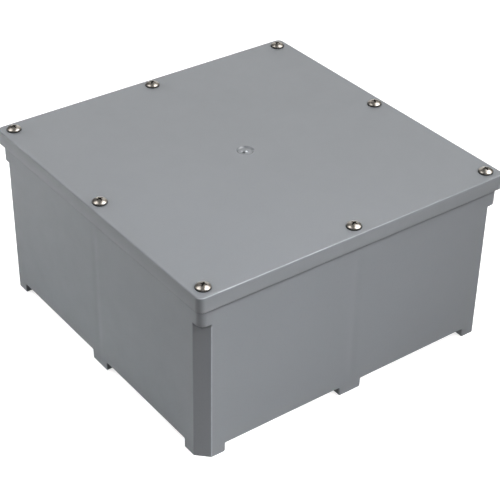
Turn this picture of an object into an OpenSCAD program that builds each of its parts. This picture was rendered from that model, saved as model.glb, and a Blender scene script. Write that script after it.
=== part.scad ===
// Square moulded junction box with a screwed-on flat cover.
// Millimetres, +Z up, origin under the middle of the box at the underside of its feet.

/* [Cover] */
// Side of the square cover, over its skirt
cover_side = 318; // [280:1:340]
// Thickness of the flat cover plate
plate_t = 4.8; // [4:0.1:6]
// Height of the cover's rim, plate and skirt together
rim_h = 14; // [11:0.5:18]
// Radius of the cover's upright corners
cover_corner_r = 6; // [4:0.5:10]
// Rounding along the cover's top edge
cover_edge_r = 1.2; // [0.6:0.1:2]
// Play between the cover's skirt and the box wall
skirt_play = 0.3; // [0.2:0.1:0.6]
// Diameter of the shallow moulding dimple in the middle of the cover
dimple_d = 16; // [10:1:24]
// Depth of the moulding dimple
dimple_depth = 0.8; // [0.4:0.1:1.5]

/* [Box] */
// Overall height from the feet to the top of the cover
total_h = 166; // [120:1:200]
// How far the cover overhangs the box wall on each side
overhang = 3; // [2.5:0.1:4.5]
// Thickness of the side walls
wall_t = 4.5; // [3.5:0.1:6]
// Thickness of the floor
floor_t = 4.7; // [3.5:0.1:6]
// Leg of the 45 degree chamfer along each upright corner
corner_chamfer = 10.5; // [8:0.5:14]
// Radius of the block that squares off each corner under the cover
block_r = 6.5; // [5:0.5:9]
// How far the corner blocks reach down below the cover's rim
block_drop = 16; // [14:0.5:26]
// How far the outside is set back where the skirt slides over it
skirt_relief = 0.3; // [0.1:0.1:0.5]

/* [Feet] */
// Height of the feet
foot_h = 9; // [6:0.5:14]
// Length of a corner foot along each wall
corner_foot_len = 24; // [18:1:36]
// Length of the foot in the middle of each wall
mid_foot_len = 23.4; // [16:0.2:36]
// Depth of the feet, inwards from the wall's outer face
foot_depth = 12; // [8:0.5:16]

/* [Screws] */
// Corner screws, inset from the cover's edges
corner_inset = 11.9; // [11:0.1:14]
// Mid-side screws, inset from the cover's edge
mid_inset = 11.1; // [10.5:0.1:13]
// Diameter of the low domed screw head
head_d = 12.4; // [11:0.1:12.8]
// Height of the screw head
head_h = 3.2; // [2.4:0.1:4]
// Plain outside diameter of the screw's thread
thread_d = 5.4; // [4.8:0.1:5.6]
// Length of the screw under its head
screw_len = 19; // [17:0.5:22]
// Diameter of the sealing washer
washer_d = 13.2; // [12.8:0.1:15]
// Thickness of the sealing washer
washer_t = 0.8; // [0.5:0.1:1.2]
// Outside diameter of the threaded insert
insert_d = 8; // [7:0.1:8.2]
// Length of the threaded insert
insert_len = 11; // [8:0.5:12]
// Diameter of the moulded column that holds an insert
column_d = 15; // [13:0.5:15]

/* [Seal] */
// Width of the gasket
gasket_w = 3; // [2:0.1:3.1]
// Thickness of the gasket, closed
gasket_t = 2.8; // [2:0.1:4]

/* [Hidden] */
$fn = 96;
CORNERS = ["front_left", "front_right", "back_right", "back_left"];
SIDES = ["front", "right", "back", "left"];

cover_half = cover_side / 2;
wall_half = cover_half - overhang;
inner_half = wall_half - wall_t;
rim_z = total_h - rim_h;              // lower edge of the cover's skirt
plate_z = total_h - plate_t;          // underside of the cover plate
wall_top = plate_z - gasket_t;        // top edge of the box wall, under the gasket
floor_top = foot_h + floor_t;
block_z = rim_z - block_drop;

relief_z = rim_z - 0.3;               // the set-back starts just below the closed skirt

// The gasket lies on the outer part of the wall's top edge.
gasket_outer = wall_half - skirt_relief - 0.1;
gasket_inner = gasket_outer - gasket_w;
gasket_centre = wall_half - block_r;  // centre of the corner arcs, in x and in y
sealing_gap = 0.05;                   // between the closed gasket and the wall

// Ribs under the cover locate it inside the walls, and stop short of the columns.
rib_t = 2;
rib_h = 6;
rib_play = 0.4;
rib_start = 13;
rib_end = 133;
rib_outer = inner_half - rib_play;

corner_at = cover_half - corner_inset;
mid_at = cover_half - mid_inset;
hole_play = 0.2;
insert_play = 0.05;
insert_bore_d = thread_d + 2 * insert_play;
pocket_end = wall_top - insert_len - 2.4;
pad_d = 11;                           // pads under the cover, one round each screw hole
pad_play = 0.05;
head_rim_h = 0.9;                     // straight side of the head below its dome
recess_depth = 1.9;
cross_w = 1.5;
cross_len = 6.4;
// How far each screw's cross stands turned when it is tight, in degrees
CORNER_TURNS = [38, -12, 24, 8];
SIDE_TURNS = [16, -30, 41, 4];

// Dome of the screw head: a sphere through the head's side and its crown
dome_rise = head_h - head_rim_h;
dome_r = (pow(head_d / 2, 2) + pow(dome_rise, 2)) / (2 * dome_rise);

// Where the corner screws and the side screws stand
function corner_pos(i) = [[-corner_at, -corner_at], [corner_at, -corner_at],
                          [corner_at, corner_at], [-corner_at, corner_at]][i];
function side_pos(i) = [[0, -mid_at], [mid_at, 0], [0, mid_at], [-mid_at, 0]][i];

// A square of half side h with round corners of radius r
module rounded_square(h, r) {
  square([2 * h, 2 * (h - r)], center = true);
  square([2 * (h - r), 2 * h], center = true);
  for (x = [-1, 1], y = [-1, 1]) translate([x * (h - r), y * (h - r)]) circle(r);
}

// A square of half side h with its corners cut off at 45 degrees
module chamfered_square(h, c) {
  polygon([[-h, -h + c], [-h + c, -h], [h - c, -h], [h, -h + c],
           [h, h - c], [h - c, h], [-h + c, h], [-h, h - c]]);
}

module at_corners() { for (i = [0:3]) translate(corner_pos(i)) children(); }
module at_sides() { for (i = [0:3]) translate(side_pos(i)) children(); }

// A slab with a rounded top edge, built from its plates, edge rods and corner rings
module soft_slab(h, r, e, z0, z1) {
  translate([0, 0, z0]) linear_extrude(z1 - z0 - e) rounded_square(h, r);
  translate([0, 0, z0]) linear_extrude(z1 - z0) rounded_square(h - e, r - e);
  for (a = [0, 90, 180, 270]) rotate(a) {
    translate([0, h - e, z1 - e]) rotate([0, 90, 0])
      cylinder(h = 2 * (h - r), r = e, center = true);
    translate([h - r, h - r, z1 - e]) rotate_extrude() translate([r - e, 0]) circle(e, $fn = 32);
  }
}

// One foot in the middle of a wall, and the two legs of a corner foot
module foot_outlines() {
  for (a = [0, 90, 180, 270]) rotate(a) {
    translate([-mid_foot_len / 2, -wall_half]) square([mid_foot_len, foot_depth]);
    translate([-wall_half, -wall_half]) square([corner_foot_len, foot_depth]);
    translate([-wall_half, -wall_half]) square([foot_depth, corner_foot_len]);
  }
}

module shell_outline() chamfered_square(wall_half, corner_chamfer);

// The inner outline runs parallel to the outer one, a wall thickness inside it.
module cavity_outline() {
  chamfered_square(inner_half, corner_chamfer - wall_t * (2 - sqrt(2)));
}

// Square-cornered ends of the box under the cover, which carry the corner inserts
module corner_blocks() {
  translate([0, 0, block_z]) linear_extrude(wall_top - block_z) intersection() {
    rounded_square(wall_half, block_r);
    for (x = [-1, 1], y = [-1, 1]) translate([x * wall_half, y * wall_half])
      square(2 * corner_chamfer, center = true);
  }
}

// Upright columns that take the threaded inserts
module columns() {
  translate([0, 0, foot_h]) linear_extrude(wall_top - foot_h) intersection() {
    shell_outline();
    union() {
      at_corners() circle(d = column_d);
      at_sides() circle(d = column_d);
    }
  }
}

// Ring of material taken off the outside of the box behind the cover's skirt
module skirt_set_back() {
  translate([0, 0, relief_z]) linear_extrude(wall_top) difference() {
    square(cover_side, center = true);
    rounded_square(wall_half - skirt_relief, block_r - skirt_relief);
  }
}

module insert_pocket() {
  translate([0, 0, wall_top - insert_len]) cylinder(h = insert_len + 1, d = insert_d);
  translate([0, 0, pocket_end]) cylinder(h = wall_top - pocket_end, d = thread_d + 2 * hole_play);
}

module base() color([0.50, 0.52, 0.53]) difference() {
  union() {
    difference() {
      union() {
        translate([0, 0, foot_h]) linear_extrude(wall_top - foot_h) shell_outline();
        corner_blocks();
      }
      translate([0, 0, floor_top]) linear_extrude(wall_top) cavity_outline();
    }
    columns();
    linear_extrude(foot_h) intersection() {
      shell_outline();
      foot_outlines();
    }
  }
  skirt_set_back();
  at_corners() insert_pocket();
  at_sides() insert_pocket();
}

// Pads that reach down from the plate to the columns, kept inside the gasket
module pads() {
  translate([0, 0, wall_top + pad_play]) linear_extrude(plate_z - wall_top) intersection() {
    rounded_square(gasket_inner - 0.2, gasket_inner - 0.2 - gasket_centre);
    union() {
      at_corners() circle(d = pad_d);
      at_sides() circle(d = pad_d);
    }
  }
}

module locating_ribs() {
  for (a = [0, 90, 180, 270], s = [-1, 1]) rotate(a)
    translate([s * (rib_start + rib_end) / 2, rib_outer - rib_t / 2, plate_z - rib_h / 2 + 0.5])
      cube([rib_end - rib_start, rib_t, rib_h + 1], center = true);
}

module cover() color([0.60, 0.61, 0.62]) {
  difference() {
    union() {
      difference() {
        soft_slab(cover_half, cover_corner_r, cover_edge_r, rim_z, total_h);
        translate([0, 0, rim_z - 1]) linear_extrude(plate_z - rim_z + 1)
          rounded_square(wall_half + skirt_play, block_r);
      }
      pads();
      locating_ribs();
    }
    at_corners() cylinder(h = total_h + 1, d = thread_d + 2 * hole_play);
    at_sides() cylinder(h = total_h + 1, d = thread_d + 2 * hole_play);
    translate([0, 0, total_h - dimple_depth]) cylinder(h = 2, d = dimple_d);
  }
  // Stub left where the plastic was fed in
  translate([0, 0, total_h - dimple_depth]) cylinder(h = 0.6, d = 2.4);
}

module gasket() color([0.16, 0.16, 0.17])
  translate([0, 0, wall_top + sealing_gap]) linear_extrude(gasket_t - sealing_gap) difference() {
    rounded_square(gasket_outer, gasket_outer - gasket_centre);
    rounded_square(gasket_inner, gasket_inner - gasket_centre);
  }

module threaded_insert() color([0.72, 0.58, 0.30])
  translate([0, 0, wall_top - insert_len]) difference() {
    cylinder(h = insert_len, d = insert_d);
    translate([0, 0, -1]) cylinder(h = insert_len + 2, d = insert_bore_d);
  }

module sealing_washer() color([0.10, 0.10, 0.11])
  translate([0, 0, total_h]) difference() {
    cylinder(h = washer_t, d = washer_d);
    translate([0, 0, -1]) cylinder(h = washer_t + 2, d = thread_d + 2 * insert_play);
  }

// Low domed head with a cross recess, on a plain shank of the thread's size
module screw(turn) color([0.76, 0.73, 0.69])
  translate([0, 0, total_h + washer_t]) rotate(turn) {
    difference() {
      intersection() {
        cylinder(h = head_h, d = head_d);
        translate([0, 0, head_h - dome_r]) sphere(dome_r);
      }
      for (a = [0, 90]) rotate(a) translate([0, 0, head_h])
        cube([cross_len, cross_w, 2 * recess_depth], center = true);
    }
    translate([0, 0, -screw_len]) cylinder(h = screw_len + 0.5, d = thread_d);
  }

base();
cover();
gasket();
for (i = [0:3]) {
  translate(corner_pos(i)) threaded_insert();
  translate(side_pos(i)) threaded_insert();
  translate(corner_pos(i)) sealing_washer();
  translate(side_pos(i)) sealing_washer();
  translate(corner_pos(i)) screw(CORNER_TURNS[i]);
  translate(side_pos(i)) screw(SIDE_TURNS[i]);
}
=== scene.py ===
"""Moulded junction box: the detailed pieces, their materials, and a plain studio round them."""
import math

import bmesh
import bpy
from mathutils import Matrix, Vector


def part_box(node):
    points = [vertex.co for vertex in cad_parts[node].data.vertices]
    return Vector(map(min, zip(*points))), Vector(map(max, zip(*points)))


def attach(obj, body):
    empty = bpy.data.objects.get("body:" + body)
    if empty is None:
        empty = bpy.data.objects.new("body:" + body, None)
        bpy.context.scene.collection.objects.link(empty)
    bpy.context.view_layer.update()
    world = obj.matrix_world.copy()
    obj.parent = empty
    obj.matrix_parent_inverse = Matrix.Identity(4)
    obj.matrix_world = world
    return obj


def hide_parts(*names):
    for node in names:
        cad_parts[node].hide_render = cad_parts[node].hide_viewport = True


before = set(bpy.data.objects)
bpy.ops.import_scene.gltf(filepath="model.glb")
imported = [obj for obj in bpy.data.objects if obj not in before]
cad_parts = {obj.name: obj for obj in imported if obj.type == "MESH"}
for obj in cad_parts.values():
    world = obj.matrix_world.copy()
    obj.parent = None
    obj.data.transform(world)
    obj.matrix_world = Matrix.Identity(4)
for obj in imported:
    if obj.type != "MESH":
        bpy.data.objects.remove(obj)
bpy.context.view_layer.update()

MM = 0.001

# ---------------------------------------------------------------- places, from the frame
BASE_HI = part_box("base")[1]
COVER_LO, COVER_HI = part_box("cover")
GASKET_LO, GASKET_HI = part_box("gasket")
COVER_HALF = COVER_HI.x
TOP_Z = COVER_HI.z
RIM_Z = COVER_LO.z
WALL_HALF = BASE_HI.x
WALL_TOP = BASE_HI.z
PLATE_Z = GASKET_HI.z
GASKET_HALF = GASKET_HI.x
PLACES = ["front_left", "front_right", "back_right", "back_left",
          "front", "right", "back", "left"]


def middle(node):
    """The middle of a CAD node's box, in plan."""
    low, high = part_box(node)
    return (low.x + high.x) / 2, (low.y + high.y) / 2


SCREW_AT = {place: middle("insert_" + place) for place in PLACES}
CORNER_AT = SCREW_AT["back_right"][0]
SIDE_AT = SCREW_AT["right"][0]

# ---------------------------------------------------------------- sizes of the mouldings
SKIRT_RELIEF = 0.3 * MM   # how far the outside is set back behind the cover's skirt
SKIRT_PLAY = 0.3 * MM     # between the walls and the inside of the skirt
TOP_EDGE = 1.2 * MM       # rounding of the cover's top edge
GASKET_W = 3 * MM
CORNER_CHAMFER = 10.5 * MM
BLOCK_R = 6.5 * MM
BLOCK_Z = RIM_Z - 16 * MM   # the middle of the ledges under the corner blocks
LEDGE_RISE = 0.9 * MM       # half the height that a ledge takes
WALL_T = 4.5 * MM
FLOOR_T = 4.7 * MM
FOOT_H = 9 * MM
FOOT_DEPTH = 12 * MM
CORNER_FOOT = 24 * MM
MID_FOOT = 23.4 * MM
COLUMN_R = 7.5 * MM
INSERT_R = 4 * MM
INSERT_LEN = 11 * MM
THREAD_R = 2.7 * MM
THREAD_PITCH = 1.058 * MM
LEVELS_PER_TURN = 8       # mesh levels in one turn of a thread
INSERT_BORE_R = 2.75 * MM
HOLE_R = 2.9 * MM
HOLE_EDGE = 0.3 * MM      # bevel at the mouth of a hole
COVER_R = 6 * MM
DIMPLE_R = 8 * MM
DIMPLE_DEPTH = 1.3 * MM
DIMPLE_SLOPE = 2.2 * MM
STUB_AT, STUB_R, STUB_H = (0.3 * MM, -0.8 * MM), 1.6 * MM, 0.9 * MM
PIT_AT, PIT_R, PIT_DEPTH = (-2.0 * MM, 0.2 * MM), 1.5 * MM, 1.7 * MM
HEAD_R = 6.2 * MM
HEAD_H = 3.2 * MM
HEAD_SIDE = 0.9 * MM
DOME_R = (HEAD_R ** 2 + (HEAD_H - HEAD_SIDE) ** 2) / (2 * (HEAD_H - HEAD_SIDE))
SCREW_LEN = 19 * MM
WASHER_R = 6.6 * MM
WASHER_T = 0.8 * MM
INNER_HALF = WALL_HALF - WALL_T
CORNER_STEPS = 16         # mesh steps round each upright corner, an even number
HOLE_STEPS = 40           # mesh steps round a screw's hole in the cover
POCKET_STEPS = 48         # mesh steps round a pocket or pad
WASHER_STEPS = 72
METAL_STEPS = 96          # mesh steps round a screw or insert
PAST = MM                 # how far a cutter runs past the surface that it cuts
FAR_PAST = 3 * MM
# an edge between two faces is kept crisp above these angles, in degrees
MOULDING_ANGLE, METAL_ANGLE, RUBBER_ANGLE = 32, 40, 60


# ---------------------------------------------------------------- mesh helpers
def new_object(name, bm, smooth_angle=MOULDING_ANGLE):
    """An object from a bmesh, smooth shaded, with edges sharper than the angle kept crisp."""
    bmesh.ops.recalc_face_normals(bm, faces=bm.faces)
    mesh = bpy.data.meshes.new(name)
    bm.to_mesh(mesh)
    bm.free()
    obj = bpy.data.objects.new(name, mesh)
    bpy.context.scene.collection.objects.link(obj)
    finish_shading(obj, smooth_angle)
    return obj


def finish_shading(obj, smooth_angle=MOULDING_ANGLE):
    """Smooth shading, but for edges sharper than the angle."""
    mesh = obj.data
    mesh.polygons.foreach_set("use_smooth", [True] * len(mesh.polygons))
    mesh.set_sharp_from_angle(angle=math.radians(smooth_angle))
    mesh.update()


def add_ring(bm, points):
    return [bm.verts.new(p) for p in points]


def circle(radius, z, steps, centre=(0, 0)):
    """The points of a level circle."""
    return [(centre[0] + radius * math.cos(math.tau * i / steps),
             centre[1] + radius * math.sin(math.tau * i / steps), z) for i in range(steps)]


def arc(centre, radius, first, last, steps):
    """The points of an arc in plan, from one angle to another, both ends included."""
    return [(centre[0] + radius * math.cos(first + (last - first) * i / steps),
             centre[1] + radius * math.sin(first + (last - first) * i / steps))
            for i in range(steps + 1)]


def bridge(bm, ring_a, ring_b):
    """Quads between two closed rings of as many points."""
    count = len(ring_a)
    for i in range(count):
        j = (i + 1) % count
        bm.faces.new((ring_a[i], ring_a[j], ring_b[j], ring_b[i]))


def loft(bm, rings, closed=False):
    """Rings of points joined in order, and capped at both ends, or closed from last to first."""
    made = [add_ring(bm, points) for points in rings]
    for a, b in zip(made, made[1:]):
        bridge(bm, a, b)
    if closed:
        bridge(bm, made[-1], made[0])
    else:
        bm.faces.new(list(reversed(made[0])))
        bm.faces.new(made[-1])


def boolean(obj, cutter, operation="DIFFERENCE"):
    """Applies one exact boolean to obj, and removes the cutter."""
    modifier = obj.modifiers.new("cut", "BOOLEAN")
    modifier.operation = operation
    modifier.solver = "EXACT"
    modifier.use_self = False
    modifier.object = cutter
    bake_modifiers(obj)
    bpy.data.objects.remove(cutter)


def bake_modifiers(obj):
    """Replaces obj's mesh with what its modifiers make of it."""
    graph = bpy.context.evaluated_depsgraph_get()
    graph.update()
    mesh = bpy.data.meshes.new_from_object(obj.evaluated_get(graph))
    old = obj.data
    obj.modifiers.clear()
    obj.data = mesh
    mesh.name = old.name
    bpy.data.meshes.remove(old)


def turned(bm, profile, steps, centre=(0, 0)):
    """A surface of revolution about a vertical axis, from [(radius, z)]. Returns its rings."""
    rings = []
    for radius, z in profile:
        if radius < 1e-7:
            rings.append([bm.verts.new((centre[0], centre[1], z))])
        else:
            rings.append(add_ring(bm, circle(radius, z, steps, centre)))
    for a, b in zip(rings, rings[1:]):
        if len(a) == 1:
            for i in range(steps):
                bm.faces.new((a[0], b[i], b[(i + 1) % steps]))
        elif len(b) == 1:
            for i in range(steps):
                bm.faces.new((a[i], a[(i + 1) % steps], b[0]))
        else:
            bridge(bm, a, b)
    return rings


def quarter(steps):
    """(sine, cosine) pairs from 0 to 90 degrees."""
    return [(math.sin(math.pi / 2 * i / steps), math.cos(math.pi / 2 * i / steps))
            for i in range(steps + 1)]


# ---------------------------------------------------------------- outlines in plan
def side_fractions():
    """Places along a side from -1 to 1, without its ends, closer together in its middle."""
    count, fine, reach = 44, 100, 7
    spread = [-1 + 2 * i / count for i in range(count + 1)]
    near_middle = [i / fine for i in range(-reach, reach + 1) if i]
    both = sorted(set(round(v, 4) for v in spread + near_middle))
    return both[1:-1]


SIDE_FRACTIONS = side_fractions()


def four_corners(corner):
    """Repeats one corner's points, given for the +X +Y corner from the +X side, round a square."""
    points = []
    for turn in range(4):
        rotation = Matrix.Rotation(math.pi / 2 * turn, 2)
        placed = [rotation @ Vector(p) for p in corner]
        points += placed
        start = placed[-1]
        following = Matrix.Rotation(math.pi / 2 * (turn + 1), 2) @ Vector(corner[0])
        for f in SIDE_FRACTIONS:
            points.append(start.lerp(following, (f + 1) / 2))
    return [(p.x, p.y) for p in points]


def rounded_outline(half, radius):
    """A square with round corners."""
    centre = half - radius
    return four_corners(arc((centre, centre), radius, 0.0, math.pi / 2, CORNER_STEPS))


def chamfered_outline(half, leg, radius):
    """A square whose corners are cut at 45 degrees, with the two edges of each cut rounded."""
    reach = radius * math.tan(math.pi / 8)
    centres = [(half - radius, half - leg - reach), (half - leg - reach, half - radius)]
    corner = []
    for i in range(CORNER_STEPS + 1):
        late = i > CORNER_STEPS // 2
        centre = centres[1] if late else centres[0]
        # the second arc takes one step fewer, so that the flat of the cut has a step of its own
        steps = CORNER_STEPS // 2
        part = (i - steps - 1) / (steps - 1) + 1 if late else i / steps
        angle = math.pi / 4 * part
        corner.append((centre[0] + radius * math.cos(angle), centre[1] + radius * math.sin(angle)))
    return four_corners(corner)


def at_height(outline, z):
    return [(x, y, z) for x, y in outline]


# ---------------------------------------------------------------- the cover
DIMPLE_RINGS = 26
DISH_RADII = [DIMPLE_R + 0.25 * MM]
DISH_RADII += [DIMPLE_R * (1 - k / DIMPLE_RINGS) for k in range(DIMPLE_RINGS - 1)]


def dish_height(x, y):
    """Height of the dimple's surface over the cover's face, with its feed stub and torn pit."""
    radius = math.hypot(x, y)
    slope = min(1.0, max(0.0, (DIMPLE_R - radius) / DIMPLE_SLOPE))
    height = -DIMPLE_DEPTH * slope * slope * (3 - 2 * slope)
    stub = math.hypot(x - STUB_AT[0], y - STUB_AT[1]) / STUB_R
    height += STUB_H * math.exp(-stub ** 4)
    pit = math.hypot(x - PIT_AT[0], y - PIT_AT[1]) / PIT_R
    return height - PIT_DEPTH * math.exp(-pit ** 4)


def make_cover():
    """The cover's outside as one loft, then its hollow, ribs, pads and screw holes."""
    lower_edge = 0.5 * MM
    bm = bmesh.new()
    rings = []
    for s, c in quarter(3):
        inset = lower_edge * (1 - s)
        rings.append(at_height(rounded_outline(COVER_HALF - inset, COVER_R - inset),
                               RIM_Z + lower_edge * (1 - c)))
    for s, c in quarter(6):
        inset = TOP_EDGE * (1 - c)
        rings.append(at_height(rounded_outline(COVER_HALF - inset, COVER_R - inset),
                               TOP_Z - TOP_EDGE * (1 - s)))
    # the flat top, as rings that turn from a square into the circle of the dimple
    outer = rounded_outline(COVER_HALF - TOP_EDGE, COVER_R - TOP_EDGE)
    lip = DIMPLE_R + 0.5 * MM
    rings_in = 14
    thin = 0.004                                    # a narrow first ring keeps the shading flat
    for t in [thin] + [k / rings_in for k in range(1, rings_in + 1)]:
        ring = []
        for x, y in outer:
            p = Vector((x, y))
            ring.append((*p.lerp(p * (lip / math.hypot(x, y)), t), TOP_Z))
        rings.append(ring)
    directions = [Vector(p).normalized() for p in outer]
    for radius in DISH_RADII:
        ring = [(d.x * radius, d.y * radius) for d in directions]
        rings.append([(x, y, TOP_Z + dish_height(x, y)) for x, y in ring])
    loft(bm, rings)
    cover = new_object("cover_moulding", bm)

    boolean(cover, make_cover_hollow())
    ribs = bmesh.new()
    add_ribs(ribs)
    boolean(cover, new_object("ribs", ribs), "UNION")
    pads = bmesh.new()
    for place in PLACES:
        add_pad(pads, SCREW_AT[place])
    boolean(cover, new_object("pads", pads), "UNION")
    holes = bmesh.new()
    start, end, mouth = WALL_TOP - PAST, TOP_Z + PAST, HOLE_R + HOLE_EDGE
    for place in PLACES:
        turned(holes, [(0, start), (HOLE_R, start), (HOLE_R, TOP_Z - HOLE_EDGE),
                       (mouth, TOP_Z), (mouth, end), (0, end)], HOLE_STEPS, SCREW_AT[place])
    boolean(cover, new_object("holes", holes))
    finish_shading(cover)
    return cover


def make_cover_hollow():
    """Cutter for the inside of the cover, wider at its mouth, with a fillet under the plate."""
    bm = bmesh.new()
    half = WALL_HALF + SKIRT_PLAY
    flare, flare_h, fillet = 0.3 * MM, 0.5 * MM, 1.0 * MM
    mouth = rounded_outline(half + flare, BLOCK_R + flare)
    rings = [at_height(mouth, RIM_Z - 2 * MM), at_height(mouth, RIM_Z),
             at_height(rounded_outline(half, BLOCK_R), RIM_Z + flare_h)]
    for s, c in quarter(4):
        inset = fillet * (1 - c)
        rings.append(at_height(rounded_outline(half - inset, BLOCK_R - inset),
                               PLATE_Z - fillet * (1 - s)))
    loft(bm, rings)
    return new_object("recess", bm)


def add_box(bm, low, high, taper):
    """A box between two corners; taper narrows its lower end by that much on each side."""
    corners = []
    for z, inset in ((low[2], taper), (high[2], 0.0)):
        left, right = low[0] + inset, high[0] - inset
        front, back = low[1] + inset, high[1] - inset
        corners.append([(left, front, z), (right, front, z), (right, back, z), (left, back, z)])
    loft(bm, corners)


def add_ribs(bm):
    """Eight ribs under the cover that locate it inside the walls."""
    outer, thick, drop = INNER_HALF - 0.4 * MM, 2 * MM, 5.5 * MM
    start, end = 13 * MM, 133 * MM
    draft = 0.25 * MM
    for turn in range(4):
        for low, high in ((-end, -start), (start, end)):
            rib = bmesh.new()
            add_box(rib, (low, outer - thick, PLATE_Z - drop), (high, outer, PLATE_Z + PAST), draft)
            rib.transform(Matrix.Rotation(math.pi / 2 * turn, 4, "Z"))
            temp = bpy.data.meshes.new("rib")
            rib.to_mesh(temp)
            rib.free()
            bm.from_mesh(temp)
            bpy.data.meshes.remove(temp)


def add_pad(bm, at):
    """A round pad under the cover, cut flat where the gasket passes."""
    radius, bevel = 5.5 * MM, 0.4 * MM
    foot = WALL_TOP + 0.05 * MM
    rings = []
    for inset, z in ((bevel, foot), (0, foot + bevel), (0, PLATE_Z + PAST)):
        limit = GASKET_HALF - GASKET_W - 0.2 * MM - inset
        rings.append([(max(-limit, min(limit, x)), max(-limit, min(limit, y)), z)
                      for x, y, z in circle(radius - inset, z, POCKET_STEPS, at)])
    loft(bm, rings)


# ---------------------------------------------------------------- the base
def make_base():
    """The walls and floor as one loft, then everything that is hollow is cut out of it."""
    bm = bmesh.new()
    lower_edge = 0.8 * MM
    cut_edge = 1.0 * MM
    rings = []
    for s, c in quarter(4):
        inset = lower_edge * (1 - s)
        rings.append(at_height(chamfered_outline(WALL_HALF - inset, CORNER_CHAMFER, cut_edge),
                               lower_edge * (1 - c)))
    shaft = chamfered_outline(WALL_HALF, CORNER_CHAMFER, cut_edge)
    block = rounded_outline(WALL_HALF, BLOCK_R)
    step_z = RIM_Z - SKIRT_RELIEF
    rings += levels_of(shaft, lower_edge, BLOCK_Z - LEDGE_RISE, count=22)
    rings += block_ledge(shaft, block)
    rings += levels_of(block, BLOCK_Z + LEDGE_RISE, step_z, count=4)
    upper_edge = 0.3 * MM
    for inset, z in ((SKIRT_RELIEF, step_z + SKIRT_RELIEF), (SKIRT_RELIEF, WALL_TOP - upper_edge),
                     (SKIRT_RELIEF + upper_edge, WALL_TOP)):
        rings.append(at_height(rounded_outline(WALL_HALF - inset, BLOCK_R - inset), z))
    loft(bm, rings)
    sink_walls(bm)
    base = new_object("base_moulding", bm)

    gaps = bmesh.new()
    near, far = MID_FOOT / 2, WALL_HALF - CORNER_FOOT
    for turn in range(4):
        for low, high in ((-far, -near), (near, far)):
            add_gap(gaps, low, high, turn)
    boolean(base, new_object("gaps", gaps))
    boolean(base, make_underside())
    boolean(base, make_cavity())
    # each pocket goes on under its insert, to take the tip of the screw
    pockets = bmesh.new()
    seat, mouth, end = WALL_TOP - INSERT_LEN, INSERT_R + HOLE_EDGE, WALL_TOP + PAST
    bottom = seat - 2.4 * MM
    for place in PLACES:
        turned(pockets, [(0, bottom), (HOLE_R, bottom), (HOLE_R, seat), (INSERT_R, seat),
                         (INSERT_R, WALL_TOP - HOLE_EDGE), (mouth, WALL_TOP), (mouth, end),
                         (0, end)], POCKET_STEPS, SCREW_AT[place])
    boolean(base, new_object("pockets", pockets))
    finish_shading(base)
    return base


def levels_of(outline, start, end, count):
    """The outline at count heights, evenly from just above start up to end."""
    return [at_height(outline, start + (end - start) * k / count) for k in range(1, count + 1)]


def block_ledge(shaft, block):
    """Rings that step out from the cut corners to the square blocks; the walls just run on up."""
    fillet = 0.6 * MM
    narrow = 2.2 * fillet                           # a ledge less wide has smaller fillets
    steps = 4
    # (0 from the shaft or 1 from the block, how far outwards from there, how far up)
    stages = [(0, fillet * (1 - c), -fillet * (1 - s)) for s, c in quarter(steps)]
    stages += [(1, -fillet * (1 - s), fillet * (1 - c)) for s, c in quarter(steps)]
    per_corner = CORNER_STEPS + 1 + len(SIDE_FRACTIONS)
    rings = []
    for k, (side, along, up) in enumerate(stages):
        ring = []
        t = (k + 1) / (len(stages) + 1)
        z_wall = BLOCK_Z - LEDGE_RISE + 2 * LEDGE_RISE * (k + 1) / (len(stages) + 1)
        for i, (a, b) in enumerate(zip(map(Vector, shaft), map(Vector, block))):
            run = b - a
            length = run.length
            if i % per_corner <= CORNER_STEPS and length > 0:
                share = min(1.0, length / narrow)
                point = a + run * ((side * length + along * share) / length)
                ring.append((point.x, point.y, BLOCK_Z + up * share))
            else:
                point = a.lerp(b, t)
                ring.append((point.x, point.y, z_wall))
        rings.append(ring)
    return rings


def sink_walls(bm):
    """Bows each outer wall in by a hair, and a little more where a side column stands behind it."""
    depth, width = 0.30 * MM, 4.0 * MM
    bow = 0.25 * MM
    fade_above, fade_below = 30 * MM, 20 * MM       # to nothing at the skirt and the feet's tops
    for v in bm.verts:
        x, y, z = v.co
        fade = min(1.0, max(0.0, (RIM_Z - z) / fade_above), max(0.0, (z - FOOT_H) / fade_below))
        for axis, along in ((0, y), (1, x)):
            across = v.co[axis]
            if abs(abs(across) - WALL_HALF) > 1e-6:
                continue
            swell = (1 - (along / WALL_HALF) ** 2) ** 2
            sink = depth * math.exp(-(along / width) ** 2) + bow * swell
            v.co[axis] -= math.copysign(sink * fade, across)


def add_gap(bm, low, high, turn):
    """Cutter for one gap between two feet, flared so that the edges round it come out soft."""
    corner, soft, foot_soft = 1.2 * MM, 0.7 * MM, 1.8 * MM

    def section(grow):
        """The gap seen from outside: (along, z), wider towards the ground at the feet's ends."""
        left, top = low - grow, FOOT_H + grow
        points = [(left - foot_soft, -FAR_PAST), (left - foot_soft, 0.0)]
        for s, c in quarter(5)[1:]:
            points.append((left - foot_soft * (1 - s), foot_soft * (1 - c)))
        for s, c in quarter(5):
            points.append((left + corner * (1 - c), top - corner * (1 - s)))
        mirrored = [(low + high - a, z) for a, z in reversed(points)]
        return points + mirrored

    # (depth behind the wall's face, how much the section is grown there)
    depths = [(-2 * MM, soft), (0.0, soft)]
    for s, c in quarter(4)[1:]:
        depths.append((soft * (1 - c), soft * (1 - s)))
    depths.append((FOOT_DEPTH + FAR_PAST, 0.0))
    rotation = Matrix.Rotation(math.pi / 2 * turn, 3, "Z")
    loft(bm, [[rotation @ Vector((a, -WALL_HALF + depth, z)) for a, z in section(grow)]
              for depth, grow in depths])


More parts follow.
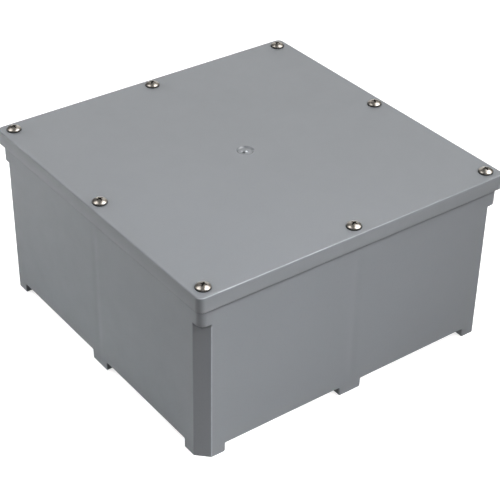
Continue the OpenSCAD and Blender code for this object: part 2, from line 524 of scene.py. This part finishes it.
def make_underside():
    """Cutter for the hollow between the feet, under the floor."""
    bm = bmesh.new()
    half, soft = WALL_HALF - FOOT_DEPTH, 1.0 * MM
    mouth = plain_square(half + soft)
    rings = [at_height(mouth, -FAR_PAST), at_height(mouth, 0.0)]
    for s, c in quarter(4)[1:]:
        rings.append(at_height(plain_square(half + soft * (1 - s)), soft * (1 - c)))
    for s, c in quarter(4):
        rings.append(at_height(plain_square(half - soft * (1 - c)), FOOT_H - soft * (1 - s)))
    loft(bm, rings)
    return new_object("underside", bm)


def plain_square(half):
    """The corners of a square, anticlockwise."""
    return [(half, -half), (half, half), (-half, half), (-half, -half)]


def cavity_outline():
    """The inside of the walls in plan, round the columns, with a fillet where they meet."""
    fillet = 1.5 * MM
    fillet_steps, column_steps = 5, 20
    # one quarter: from the middle column of the +X wall, round the +X +Y corner column
    reach = COLUMN_R + fillet
    depth = INNER_HALF - fillet                     # where a fillet's centre stands
    side_along = math.sqrt(reach ** 2 - (depth - SIDE_AT) ** 2)
    side_angle = math.atan2(side_along, depth - SIDE_AT)
    corner_along = math.sqrt(reach ** 2 - (depth - CORNER_AT) ** 2)
    corner_angle = math.atan2(-corner_along, depth - CORNER_AT)

    # half of the side column, from its innermost point to its fillet, then the wall
    quarter_side = arc((SIDE_AT, 0.0), COLUMN_R, math.pi, side_angle, column_steps)[:-1]
    quarter_side += reversed(arc((depth, side_along), fillet, 0.0, side_angle - math.pi,
                                 fillet_steps))
    quarter_side += arc((depth, CORNER_AT - corner_along), fillet, 0.0, corner_angle + math.pi,
                        fillet_steps)
    # the corner column, clockwise as seen from above, up to its own axis of symmetry
    quarter_side += arc((CORNER_AT, CORNER_AT), COLUMN_R, corner_angle, -math.pi + math.pi / 4,
                        column_steps)[1:]
    # mirror about the diagonal, to the innermost point of the next side column
    mirrored = [(y, x) for x, y in reversed(quarter_side[:-1])]
    whole = quarter_side + mirrored[:-1]
    outline = []
    for turn in range(4):
        rotation = Matrix.Rotation(math.pi / 2 * turn, 2)
        outline += [tuple(rotation @ Vector(p)) for p in whole]
    return outline


def grown(outline, distance):
    """The outline moved outwards along its own normals."""
    count = len(outline)
    moved = []
    for i, p in enumerate(outline):
        before, after = Vector(outline[i - 1]), Vector(outline[(i + 1) % count])
        tangent = (after - before).normalized()
        moved.append((p[0] + tangent.y * distance, p[1] - tangent.x * distance))
    return moved


def make_cavity():
    """Cutter for the inside of the box, with a fillet round the floor."""
    bm = bmesh.new()
    outline = cavity_outline()
    floor, fillet, lip = FOOT_H + FLOOR_T, 1.2 * MM, 0.35 * MM
    rings = []
    for s, c in quarter(4):
        rings.append(at_height(grown(outline, -fillet * (1 - s)), floor + fillet * (1 - c)))
    rings.append(at_height(outline, WALL_TOP - lip))
    mouth = grown(outline, lip)
    rings += [at_height(mouth, WALL_TOP), at_height(mouth, WALL_TOP + 2 * MM)]
    loft(bm, rings)
    return new_object("cavity", bm)


# ---------------------------------------------------------------- gasket, washers, inserts, screws
def make_gasket():
    """A closed ring of soft strip, squeezed flat on the wall's edge and bulging at its sides."""
    bm = bmesh.new()
    low, high = GASKET_LO.z, GASKET_HI.z
    centre = WALL_HALF - BLOCK_R
    # (part of the way from its outer to its inner side, part of the way up)
    profile = [(0.35, 0.0), (0.12, 0.10), (0.02, 0.30), (0.0, 0.5), (0.02, 0.70), (0.12, 0.90),
               (0.35, 1.0), (0.65, 1.0), (0.88, 0.90), (0.98, 0.70), (1.0, 0.5), (0.98, 0.30),
               (0.88, 0.10), (0.65, 0.0)]
    rings = []
    for across, up in profile:
        half = GASKET_HALF - GASKET_W * across
        rings.append(at_height(rounded_outline(half, half - centre), low + (high - low) * up))
    loft(bm, rings, closed=True)
    return new_object("gasket_strip", bm, RUBBER_ANGLE)


def shaped_circle(radius_at, z):
    """A level ring of METAL_STEPS points, its radius given by a function of the angle."""
    ring = []
    for i in range(METAL_STEPS):
        angle = math.tau * i / METAL_STEPS
        radius = radius_at(angle)
        ring.append((radius * math.cos(angle), radius * math.sin(angle), z))
    return ring


def off_crest(angle, z):
    """How far a point is from the crest of the thread, along its axis, 0 to 0.5 of a pitch."""
    return abs((z / THREAD_PITCH - angle / math.tau) % 1.0 - 0.5)


def washer_mesh():
    """A soft washer, bulged at its rim, with its underside at z = 0."""
    bm = bmesh.new()
    inner, bevel = THREAD_R + 0.05 * MM, 0.15 * MM
    t = WASHER_T
    profile = [(inner, 0.12 * t), (inner + bevel, 0.0)]
    # the rim: millimetres in from its widest, and part of the way up
    profile += [(WASHER_R - inset * MM, up * t) for inset, up in
                ((0.35, 0.0), (0.12, 0.10), (0.02, 0.32), (0.0, 0.5), (0.03, 0.70), (0.14, 0.90),
                 (0.38, 1.0))]
    profile += [(inner + bevel, t), (inner, 0.88 * t)]
    loft(bm, [circle(r, z, WASHER_STEPS) for r, z in profile], closed=True)
    return bm


def insert_mesh():
    """A brass insert with two knurled bands, a groove between them and a threaded bore."""
    bm = bmesh.new()
    teeth, lean = 24, 0.6                           # the knurl, and how far it leans, in radians
    depth, groove_depth = 0.28 * MM, 0.7 * MM
    outer, end_bevel, end_length = INSERT_R - 0.02 * MM, 0.4 * MM, 0.5 * MM
    rings = []
    levels = 34
    for k in range(levels + 1):
        z = INSERT_LEN * k / levels
        t = k / levels
        end = min(1.0, z / end_length, (INSERT_LEN - z) / end_length)
        in_groove = 0.44 < t < 0.56
        twist = lean * (t if t < 0.5 else 1 - t)

        def outside(angle):
            tooth = 0.5 + 0.5 * math.cos(teeth * (angle + twist))
            radius = outer - (1 - end) * end_bevel
            return radius - (groove_depth if in_groove else depth * (1 - tooth) * end)

        rings.append(shaped_circle(outside, z))
    # the bore, from the top down, with the thread as a groove that climbs round it
    thread_depth, mouth = 0.28 * MM, 0.35 * MM
    bore_levels = int(INSERT_LEN / THREAD_PITCH * LEVELS_PER_TURN)
    for k in range(bore_levels + 1):
        z = INSERT_LEN * (1 - k / bore_levels)
        flare = max(0.0, mouth - min(z, INSERT_LEN - z))

        def bore(angle):
            groove = thread_depth * max(0.0, 1 - off_crest(angle, z) * 3.2)
            return INSERT_BORE_R + max(groove, flare)

        rings.append(shaped_circle(bore, z))
    loft(bm, rings, closed=True)
    return bm


def screw_mesh():
    """A domed head over a shank with a real helical thread, with the head's seat at z = 0."""
    bm = bmesh.new()
    # dome from the crown to the head's side, then a small round and the flat seat
    edge_angle = math.asin((HEAD_R - 0.1 * MM) / DOME_R)
    dome_steps = 16
    angles = [edge_angle * k / dome_steps for k in range(dome_steps + 1)]
    profile = [(DOME_R * math.sin(a), HEAD_H - DOME_R * (1 - math.cos(a))) for a in angles]
    side_z, soft = profile[-1][1], 0.25 * MM
    profile += [(HEAD_R - 0.02 * MM, side_z - 0.12 * MM), (HEAD_R, side_z - 0.3 * MM),
                (HEAD_R, soft), (HEAD_R - 0.08 * MM, 0.08 * MM), (HEAD_R - soft, 0.0)]
    # the neck, down to where the thread starts
    top, bottom = -0.6 * MM, -SCREW_LEN
    profile += [(THREAD_R + 0.35 * MM, 0.0), (THREAD_R - 0.25 * MM, -0.25 * MM),
                (THREAD_R - 0.3 * MM, top)]
    previous = turned(bm, profile, METAL_STEPS)[-1]
    # the thread: each point's radius follows the helix, fading in at the neck and out at the tip
    root, tip_cut = THREAD_R - 0.55 * MM, 0.35 * MM
    neck_length, tip_length = 1.2 * MM, 1.4 * MM
    levels = int((top - bottom) / THREAD_PITCH * LEVELS_PER_TURN)
    for k in range(1, levels + 1):
        z = top + (bottom - top) * k / levels
        tip = max(0.0, min(1.0, (z - bottom) / tip_length))
        neck = min(1.0, (top - z) / neck_length)
        limit = root - tip_cut + (THREAD_R - root + tip_cut) * (tip ** 0.8)

        def shank(angle):
            ridge = max(0.0, min(1.0, 1.35 - off_crest(angle, z) * 3.4))
            return min(root + (THREAD_R - root) * ridge * neck, limit)

        ring = add_ring(bm, shaped_circle(shank, z))
        bridge(bm, previous, ring)
        previous = ring
    bm.faces.new(previous)
    return bm


def recess_cutter():
    """A tapered four-armed driver point, its top well above the head."""
    # in millimetres: depth below the crown, length of an arm, half its width, and how far out its
    # root is, where it meets the next arm
    sections = [(-1.2, 4.1, 0.86, 1.42), (0.45, 3.25, 0.74, 1.20), (1.10, 2.75, 0.68, 1.08),
                (1.90, 1.75, 0.60, 0.90), (2.40, 0.95, 0.42, 0.60), (2.65, 0.25, 0.12, 0.18)]
    bm = bmesh.new()
    rings = []
    for depth, *across in sections:
        arm, half_width, root = (v * MM for v in across)
        narrow = 0.86 * half_width                  # half the width of an arm at its end
        ring = []
        for quarter_turn in range(4):
            rotation = Matrix.Rotation(math.pi / 2 * quarter_turn, 2)
            for p in ((arm, -narrow), (arm, narrow), (root, half_width), (half_width, root)):
                q = rotation @ Vector(p)
                ring.append((q.x, q.y, HEAD_H - depth * MM))
        rings.append(ring)
    loft(bm, rings)
    return bm


# ---------------------------------------------------------------- materials
BASE_TONE, COVER_TONE = (0.113, 0.120, 0.129), (0.115, 0.122, 0.130)
PAINTED_HIGHLIGHT_GAIN, SCUFFED, SHADED = 3.0, 1.22, 0.34       # how many times the tone of the plastic: painted highlight, scuffs, painted shade
GLOSSY_ROUGHNESS, DULL_ROUGHNESS = (0.15, 0.15, 0.15), (0.62, 0.62, 0.62)
SHADE_UNDER_SKIRT = 0.64
STEEL_TONES = (0.27, 0.245, 0.215), (0.46, 0.43, 0.385)
# the painted shade in a screw's driver recess, and the roughness there
RECESS_PAINTED_SHADE, RECESS_ROUGHNESS = (0.035, 0.032, 0.028), (0.7, 0.7, 0.7)
BRASS_TONES = (0.48, 0.32, 0.12), (0.78, 0.58, 0.28)


def node_material(name):
    material = bpy.data.materials.new(name)
    material.use_nodes = True
    tree = material.node_tree
    return material, tree, tree.nodes["Principled BSDF"]


def noise(tree, cells, detail, roughness):
    """Noise of so many cells to a metre, fixed to the object."""
    coordinates = tree.nodes.new("ShaderNodeTexCoord")
    node = tree.nodes.new("ShaderNodeTexNoise")
    node.inputs["Scale"].default_value = cells
    node.inputs["Detail"].default_value = detail
    node.inputs["Roughness"].default_value = roughness
    tree.links.new(coordinates.outputs["Object"], node.inputs["Vector"])
    return node.outputs["Fac"]


def ramp(tree, value, stops):
    """A colour ramp; stops are (place, grey or colour)."""
    node = tree.nodes.new("ShaderNodeValToRGB")
    node.color_ramp.elements[0].position = stops[0][0]
    node.color_ramp.elements[1].position = stops[-1][0]
    for place, _ in stops[1:-1]:
        node.color_ramp.elements.new(place)
    for element, (place, shade) in zip(node.color_ramp.elements, stops):
        element.position = place
        element.color = (*shade, 1) if isinstance(shade, tuple) else (shade, shade, shade, 1)
    tree.links.new(value, node.inputs["Fac"])
    return node.outputs["Color"]


def mottle(tree, cells, detail, roughness, *stops):
    """Noise turned into greys or colours, through (level, shade) stops."""
    return ramp(tree, noise(tree, cells, detail, roughness), stops)


def feed(tree, socket, value):
    """Links the socket to value where value is a socket, or else sets it."""
    if isinstance(value, bpy.types.NodeSocket):
        tree.links.new(value, socket)
    elif isinstance(value, tuple):
        socket.default_value = (*value, 1)
    else:
        socket.default_value = value


def mix(tree, factor, a, b, blend="MIX"):
    node = tree.nodes.new("ShaderNodeMix")
    node.data_type = "RGBA"
    node.blend_type = blend
    # the sockets of a colour mix, among those that a mix node has for its other data types
    for index, value in ((0, factor), (6, a), (7, b)):
        feed(tree, node.inputs[index], value)
    return node.outputs[2]


def bump(tree, height, strength, distance, after=None):
    node = tree.nodes.new("ShaderNodeBump")
    node.inputs["Strength"].default_value = strength
    node.inputs["Distance"].default_value = distance
    tree.links.new(height, node.inputs["Height"])
    if after is not None:
        tree.links.new(after, node.inputs["Normal"])
    return node.outputs["Normal"]


def maths(tree, operation, *values):
    node = tree.nodes.new("ShaderNodeMath")
    node.operation = operation
    for socket, value in zip(node.inputs, values):
        feed(tree, socket, value)
    return node.outputs[0]


def times(tree, first, *others):
    """The product of two values or more."""
    for other in others:
        first = maths(tree, "MULTIPLY", first, other)
    return first


def squared_radius(tree, x, y):
    return maths(tree, "ADD", times(tree, x, x), times(tree, y, y))


def scaled(tone, factor):
    return tuple(min(1.0, factor * v) for v in tone)


def places(tree):
    """The sockets x, y, z and those of the surface's normal, all in the object's own axes."""
    coordinates = tree.nodes.new("ShaderNodeTexCoord")
    split = []
    for output in ("Object", "Normal"):
        node = tree.nodes.new("ShaderNodeSeparateXYZ")
        tree.links.new(coordinates.outputs[output], node.inputs[0])
        split.append(list(node.outputs))
    return split


def band(tree, value, *stops):
    """A level from 0 to 1 that follows value through (value, level) stops, and holds past them."""
    low, high = stops[0][0], stops[-1][0]
    part = maths(tree, "DIVIDE", maths(tree, "SUBTRACT", value, low), high - low)
    return ramp(tree, part, [((at - low) / (high - low), level) for at, level in stops])


def spot(tree, x, y, centre, radius):
    """1 within a little round place in plan, 0 outside it."""
    dx, dy = maths(tree, "SUBTRACT", x, centre[0]), maths(tree, "SUBTRACT", y, centre[1])
    away = maths(tree, "SQRT", squared_radius(tree, dx, dy))
    return band(tree, away, (0.7 * radius, 1.0), (1.1 * radius, 0.0))


def cover_marks(tree):
    """(painted highlight, painted shade, glossy, dull) masks of the cover: a painted highlight on
    its top edge and the feed stub, painted shade at the foot of its skirt and in the pit, the
    dimple, and the whole of its top edge."""
    (x, y, z), (_, facing_y, facing_z) = places(tree)
    outer = maths(tree, "MAXIMUM", maths(tree, "ABSOLUTE", x), maths(tree, "ABSOLUTE", y))
    edge = times(tree, band(tree, facing_z, (0.30, 0.0), (0.55, 1.0), (0.86, 1.0), (0.97, 0.0)),
                 band(tree, outer, (COVER_HALF - 3 * MM, 0.0), (COVER_HALF - 2 * MM, 1.0)))
    # a painted highlight, strongest along the front, and there towards the left
    front = band(tree, facing_y, (-0.5, 1.0), (-0.1, 0.12), (0.1, 0.12), (0.5, 0.5))
    left = band(tree, x, (-COVER_HALF, 0.5), (0.0, 0.32), (COVER_HALF, 0.15))
    painted_highlight = maths(tree, "MAXIMUM", times(tree, edge, front, left),
                   spot(tree, x, y, STUB_AT, STUB_R))
    # painted shade along the foot of the skirt and in the pit
    foot = band(tree, z, (RIM_Z, 1.0), (RIM_Z + 0.9 * MM, 0.0))
    shaded = maths(tree, "MAXIMUM", foot, spot(tree, x, y, PIT_AT, PIT_R))
    return painted_highlight, shaded, spot(tree, x, y, (0, 0), 1.05 * DIMPLE_R), edge


def base_marks(tree):
    """(painted highlight, painted shade, glossy, dull) masks of the base: a painted highlight on
    one edge of each cut corner, and painted shade under the cover's skirt and the corners' ledges.
    Nothing on it is glossy or dull."""
    (x, y, z), _ = places(tree)
    x, y = maths(tree, "ABSOLUTE", x), maths(tree, "ABSOLUTE", y)
    # painted highlight along one edge of each cut corner
    from_edge = maths(tree, "ABSOLUTE", maths(tree, "SUBTRACT", x, WALL_HALF - CORNER_CHAMFER))
    edge = times(tree, band(tree, from_edge, (0.2 * MM, 0.6), (0.6 * MM, 0.0)),
                 band(tree, y, (WALL_HALF - 1.2 * MM, 0.0), (WALL_HALF - 0.6 * MM, 1.0)),
                 band(tree, z, (BLOCK_Z - 1.4 * MM, 1.0), (BLOCK_Z - 0.9 * MM, 0.0)))
    # painted shade under the skirt, on the outside alone, rounded corners included
    skirt_shade = times(tree, band(tree, z, (RIM_Z - 4.2 * MM, 0.0), (RIM_Z - 3.2 * MM, 1.0),
                             (RIM_Z - 0.6 * MM, 1.0), (RIM_Z, 0.0)),
                  band(tree, maths(tree, "MAXIMUM", x, y), (WALL_HALF - 3.6 * MM, 0.0),
                       (WALL_HALF - 2.6 * MM, 1.0)))
    cut = 2 * WALL_HALF - CORNER_CHAMFER            # x + y all over the face of a cut corner
    at_corner = band(tree, maths(tree, "ADD", x, y), (cut - 0.8 * MM, 0.0), (cut - 0.3 * MM, 1.0))
    # the shade under a ledge reaches lowest in the middle of the cut corner
    off_middle = maths(tree, "ABSOLUTE", maths(tree, "SUBTRACT", x, y))
    slant = 0.29
    level = maths(tree, "SUBTRACT", z, times(tree, off_middle, slant))
    under = band(tree, level, (BLOCK_Z - 6.2 * MM, 0.0), (BLOCK_Z - 4.6 * MM, 1.0))
    below = band(tree, z, (BLOCK_Z - 0.2 * MM, 1.0), (BLOCK_Z + 0.2 * MM, 0.0))
    shaded = maths(tree, "MAXIMUM", skirt_shade, times(tree, at_corner, times(tree, under, below)))
    return edge, times(tree, shaded, SHADE_UNDER_SKIRT), 0.0, 0.0


def plastic(name, tone, marks, scuffed_below=None):
    """Moulded grey PVC: faint clouding, dark specks, a fine grain, scuffs where it stands, and what
    the masks give: painted highlights, painted shade, and glossy and dull places."""
    material, tree, shader = node_material(name)
    clouds = mottle(tree, 9, 3, 0.5, (0.35, scaled(tone, 0.985)), (0.65, scaled(tone, 1.015)))
    specks = mottle(tree, 1100, 2, 0.6, (0.30, 0.93), (0.42, 1.0))
    colour = mix(tree, 1.0, clouds, specks, "MULTIPLY")
    if scuffed_below:
        scratches = mottle(tree, 260, 4, 0.7, (0.50, 0.0), (0.62, 1.0))
        z = places(tree)[0][2]
        low_down = band(tree, z, (0.2 * scuffed_below, 1.0), (scuffed_below, 0.0))
        colour = mix(tree, times(tree, scratches, low_down), colour, scaled(tone, SCUFFED))
    painted_highlight, shaded, glossy, dull = marks(tree)
    # painted highlight where the first mask says, in patches, then painted shade where the second
    # says
    patchy = mottle(tree, 90, 2, 0.5, (0.2, 0.6), (0.6, 1.0))
    colour = mix(tree, times(tree, painted_highlight, patchy), colour, scaled(tone, PAINTED_HIGHLIGHT_GAIN))
    colour = mix(tree, shaded, colour, scaled(tone, SHADED))
    tree.links.new(colour, shader.inputs["Base Color"])
    rough = mottle(tree, 45, 3, 0.6, (0.3, 0.33), (0.7, 0.39))
    rough = mix(tree, glossy, rough, GLOSSY_ROUGHNESS)
    rough = mix(tree, dull, rough, DULL_ROUGHNESS)
    tree.links.new(rough, shader.inputs["Roughness"])
    grain = bump(tree, noise(tree, 1800, 2, 0.5), 0.10, 0.1 * MM)
    waves = bump(tree, noise(tree, 16, 1, 0.4), 0.06, 3 * MM, grain)
    tree.links.new(waves, shader.inputs["Normal"])
    shader.inputs["Specular IOR Level"].default_value = 0.5
    shader.inputs["IOR"].default_value = 1.53
    return material


def recess_mask(tree):
    """1 inside the driver recess of a screw's head, under the surface of its dome."""
    (x, y, z), _ = places(tree)
    squares = squared_radius(tree, x, y)
    dome = maths(tree, "SUBTRACT", HEAD_H, maths(tree, "DIVIDE", squares, 2 * DOME_R))
    under = band(tree, maths(tree, "SUBTRACT", dome, z), (0.2 * MM, 0.0), (0.5 * MM, 1.0))
    within = band(tree, maths(tree, "SQRT", squares), (4.2 * MM, 1.0), (4.3 * MM, 0.0))
    return times(tree, under, within, band(tree, z, (0.0, 0.0), (0.2 * MM, 1.0)))


def stainless(name):
    """Passivated stainless steel, warm in tone, finely mottled, with painted shade in the driver
    recess.
    """
    material, tree, shader = node_material(name)
    tone = mottle(tree, 700, 3, 0.6, (0.3, STEEL_TONES[0]), (0.7, STEEL_TONES[1]))
    recess = recess_mask(tree)
    # painted shade in the driver recess
    tree.links.new(mix(tree, recess, tone, RECESS_PAINTED_SHADE), shader.inputs["Base Color"])
    rough = mottle(tree, 1600, 4, 0.65, (0.3, 0.24), (0.7, 0.38))
    tree.links.new(mix(tree, recess, rough, RECESS_ROUGHNESS), shader.inputs["Roughness"])
    marks = bump(tree, noise(tree, 3200, 3, 0.6), 0.16, 0.06 * MM)
    tree.links.new(marks, shader.inputs["Normal"])
    shader.inputs["Metallic"].default_value = 1.0
    return material


def brass(name):
    """Dull brass, patchy in tone, with a fine tumbled surface."""
    material, tree, shader = node_material(name)
    tone = mottle(tree, 500, 3, 0.6, (0.3, BRASS_TONES[0]), (0.7, BRASS_TONES[1]))
    tree.links.new(tone, shader.inputs["Base Color"])
    rough = mottle(tree, 1400, 3, 0.6, (0.3, 0.22), (0.7, 0.42))
    tree.links.new(rough, shader.inputs["Roughness"])
    tumbled = bump(tree, noise(tree, 2600, 2, 0.5), 0.2, 0.08 * MM)
    tree.links.new(tumbled, shader.inputs["Normal"])
    shader.inputs["Metallic"].default_value = 1.0
    return material


def rubber(name, cells):
    """Black rubber; cells is the scale of its skin, coarse for a foamed strip."""
    material, tree, shader = node_material(name)
    tone = mottle(tree, cells / 4, 3, 0.6, (0.3, 0.012), (0.7, 0.030))
    tree.links.new(tone, shader.inputs["Base Color"])
    rough = mottle(tree, cells / 2, 3, 0.6, (0.3, 0.5), (0.7, 0.75))
    tree.links.new(rough, shader.inputs["Roughness"])
    skin = bump(tree, noise(tree, cells, 3, 0.6), 0.35, 0.2 * MM)
    tree.links.new(skin, shader.inputs["Normal"])
    shader.inputs["Specular IOR Level"].default_value = 0.2
    return material


def floor_material():
    """Mid grey as far as the box's light goes, but lifted to white where the camera sees it."""
    material, tree, shader = node_material("studio_floor")
    tone = mottle(tree, 3, 2, 0.5, (0.3, 0.44), (0.7, 0.46))
    tree.links.new(tone, shader.inputs["Base Color"])
    shader.inputs["Roughness"].default_value = 0.9
    # lifted more far away, so that only the shadow close to the box is left
    (x, y, _), _ = places(tree)
    away = maths(tree, "SQRT", squared_radius(tree, x, y))
    lift = band(tree, away, (0.5, 0.75), (1.4, 1.0))
    path = tree.nodes.new("ShaderNodeLightPath")
    shader.inputs["Emission Color"].default_value = (1, 1, 1, 1)
    glow = times(tree, path.outputs["Is Camera Ray"], lift)
    tree.links.new(glow, shader.inputs["Emission Strength"])
    return material


# ---------------------------------------------------------------- putting the pieces together
def dress(obj, material, body, slot, *nodes):
    """Gives a piece its material and its body, and hides the CAD nodes whose place it takes. Its
    slot is not used.
    """
    obj.data.materials.clear()
    obj.data.materials.append(material)
    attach(obj, body)
    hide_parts(*nodes)


def place_copies(source, prefix, material, slot, height, body_prefix=None, turns=(0,) * 8):
    """One piece for each screw position, all from one mesh; turns are in degrees."""
    for place, turn in zip(PLACES, turns):
        obj = bpy.data.objects.new(f"{prefix}_{place}_detail", source.data)
        bpy.context.scene.collection.objects.link(obj)
        rotation = Matrix.Rotation(math.radians(turn), 4, "Z")
        obj.matrix_world = Matrix.Translation((*SCREW_AT[place], height)) @ rotation
        body = f"{body_prefix}_{place}" if body_prefix else "base"
        dress(obj, material, body, slot, f"{prefix}_{place}")
    bpy.data.objects.remove(source)


base_plastic = plastic("base_pvc", BASE_TONE, base_marks, 4 * MM)
cover_plastic = plastic("cover_pvc", COVER_TONE, cover_marks)
steel = stainless("screw_stainless")
insert_brass = brass("insert_brass")
washer_rubber = rubber("washer_rubber", 2400)
gasket_foam = rubber("gasket_foam", 1200)

dress(make_base(), base_plastic, "base", "base_plastic", "base")
dress(make_cover(), cover_plastic, "cover", "cover_plastic", "cover")
dress(make_gasket(), gasket_foam, "cover", "gasket_foam", "gasket")

SCREW_TURNS = [38, -12, 24, 8, 16, -30, 41, 4]     # how far round each recess was left, in degrees
screw = new_object("screw", screw_mesh())
boolean(screw, new_object("driver", recess_cutter()))
finish_shading(screw, METAL_ANGLE)
place_copies(screw, "screw", steel, "screw_steel", TOP_Z + WASHER_T, "screw", SCREW_TURNS)
washer = new_object("washer", washer_mesh(), RUBBER_ANGLE)
place_copies(washer, "washer", washer_rubber, "washer_rubber", TOP_Z, "washer")
insert = new_object("insert", insert_mesh(), METAL_ANGLE)
place_copies(insert, "insert", insert_brass, "insert_brass", WALL_TOP - INSERT_LEN)


# ---------------------------------------------------------------- floor, light and camera
CAMERA_AZIMUTH, CAMERA_ELEVATION, CAMERA_ROLL = -36.9487, 34.2119, -1.0318
# in widths of the cover: from the middle of its face, and the shift of the view across and up
CAMERA_DISTANCE, CAMERA_ACROSS, CAMERA_UP = 3.9107, 0.0128, -0.2734
LENS, SENSOR = 102.634, 36
FLOOR_HALF, FLOOR_Z = 6.0, -0.2 * MM
SKY_ON_BOX, SKY_SEEN = 0.10, 1.1                # strength of the white around, as light and as seen
ALL_ROUND = 180                                 # spread of a plain softbox, in degrees
BOX_MIDDLE = (0, 0, TOP_Z / 2)


def make_floor():
    """A plain floor a hair under the feet."""
    bm = bmesh.new()
    for x, y in plain_square(FLOOR_HALF):
        bm.verts.new((x, y, FLOOR_Z))
    bm.faces.new(bm.verts)
    floor = new_object("studio_floor_plane", bm)
    floor.data.materials.append(floor_material())


def direction(azimuth, elevation):
    """The way out from the box. Azimuth 0 is in front, and grows anticlockwise."""
    level = math.cos(elevation)
    return Vector((math.sin(azimuth) * level, -math.cos(azimuth) * level, math.sin(elevation)))


def softbox(name, azimuth, elevation, size, power, distance=2.0, aim=BOX_MIDDLE, spread=ALL_ROUND):
    """A square area light that faces aim, in degrees, metres and watts."""
    light = bpy.data.lights.new(name, "AREA")
    light.shape = "SQUARE"
    light.size = size
    light.energy = power
    light.spread = math.radians(spread)
    obj = bpy.data.objects.new(name, light)
    bpy.context.scene.collection.objects.link(obj)
    outwards = direction(math.radians(azimuth), math.radians(elevation))
    obj.location = Vector(aim) + outwards * distance
    obj.rotation_mode = "QUATERNION"
    obj.rotation_quaternion = (-outwards).to_track_quat("-Z", "Y")
    obj.visible_camera = False
    # a narrow light is small and very bright, and its reflection would be a glare on the cover
    obj.visible_glossy = spread == ALL_ROUND


def make_world():
    """White behind everything, but only a little of it as light on the box."""
    world = bpy.data.worlds.new("studio")
    bpy.context.scene.world = world
    world.use_nodes = True
    tree = world.node_tree
    background = tree.nodes["Background"]
    background.inputs["Color"].default_value = (1, 1, 1, 1)
    path = tree.nodes.new("ShaderNodeLightPath")
    strength = tree.nodes.new("ShaderNodeMapRange")
    strength.inputs["To Min"].default_value = SKY_ON_BOX
    strength.inputs["To Max"].default_value = SKY_SEEN
    tree.links.new(path.outputs["Is Camera Ray"], strength.inputs["Value"])
    tree.links.new(strength.outputs["Result"], background.inputs["Strength"])


def make_lights():
    # azimuth, elevation, size, power: the main ones, high on the right, in front and on the left
    softbox("right_softbox", 59, 54, 1.5, 32)
    softbox("front_softbox", 30, 48, 1.3, 32.5)
    softbox("left_softbox", -120, 48, 1.3, 19)
    # a wide low one behind the box, whose soft reflection lies over the whole lid
    softbox("back_softbox", 143, 24, 2.2, 17.5, distance=2.6)
    # narrow ones that grade the walls; the last lights the foot of the left wall
    left_end = (-0.2, -WALL_HALF, TOP_Z / 2)
    back_end = (-WALL_HALF, 0.2, TOP_Z / 2)
    softbox("front_wall_light", 45, 20, 0.4, 0.42, aim=left_end, spread=20)
    softbox("front_end_light", 25, 42, 0.4, 0.49, aim=left_end, spread=20)
    softbox("left_wall_light", -150, 12, 0.4, 1.62, aim=back_end, spread=24)
    softbox("low_left_light", -110, 3, 0.2, 0.08, aim=(-WALL_HALF, 0, 0), spread=10)


def make_camera():
    """The view from above the front left corner, with a long lens."""
    azimuth, elevation, roll = (math.radians(v) for v in
                                (CAMERA_AZIMUTH, CAMERA_ELEVATION, CAMERA_ROLL))
    width = 2 * COVER_HALF
    back = direction(azimuth, elevation)
    right = Vector((math.cos(azimuth), math.sin(azimuth), 0))
    up = back.cross(right)
    right, up = (right * math.cos(roll) - up * math.sin(roll),
                 right * math.sin(roll) + up * math.cos(roll))
    data = bpy.data.cameras.new("camera")
    data.lens, data.sensor_width = LENS, SENSOR
    data.clip_start, data.clip_end = 0.05, 20
    camera = bpy.data.objects.new("camera", data)
    bpy.context.scene.collection.objects.link(camera)
    place = (Vector((0, 0, TOP_Z)) + back * (CAMERA_DISTANCE * width)
             + right * (CAMERA_ACROSS * width) + up * (CAMERA_UP * width))
    camera.matrix_world = Matrix((
        (right.x, up.x, back.x, place.x), (right.y, up.y, back.y, place.y),
        (right.z, up.z, back.z, place.z), (0, 0, 0, 1)))
    bpy.context.scene.camera = camera


make_floor()
make_world()
make_lights()
make_camera()
bpy.context.scene.view_settings.view_transform = "Standard"
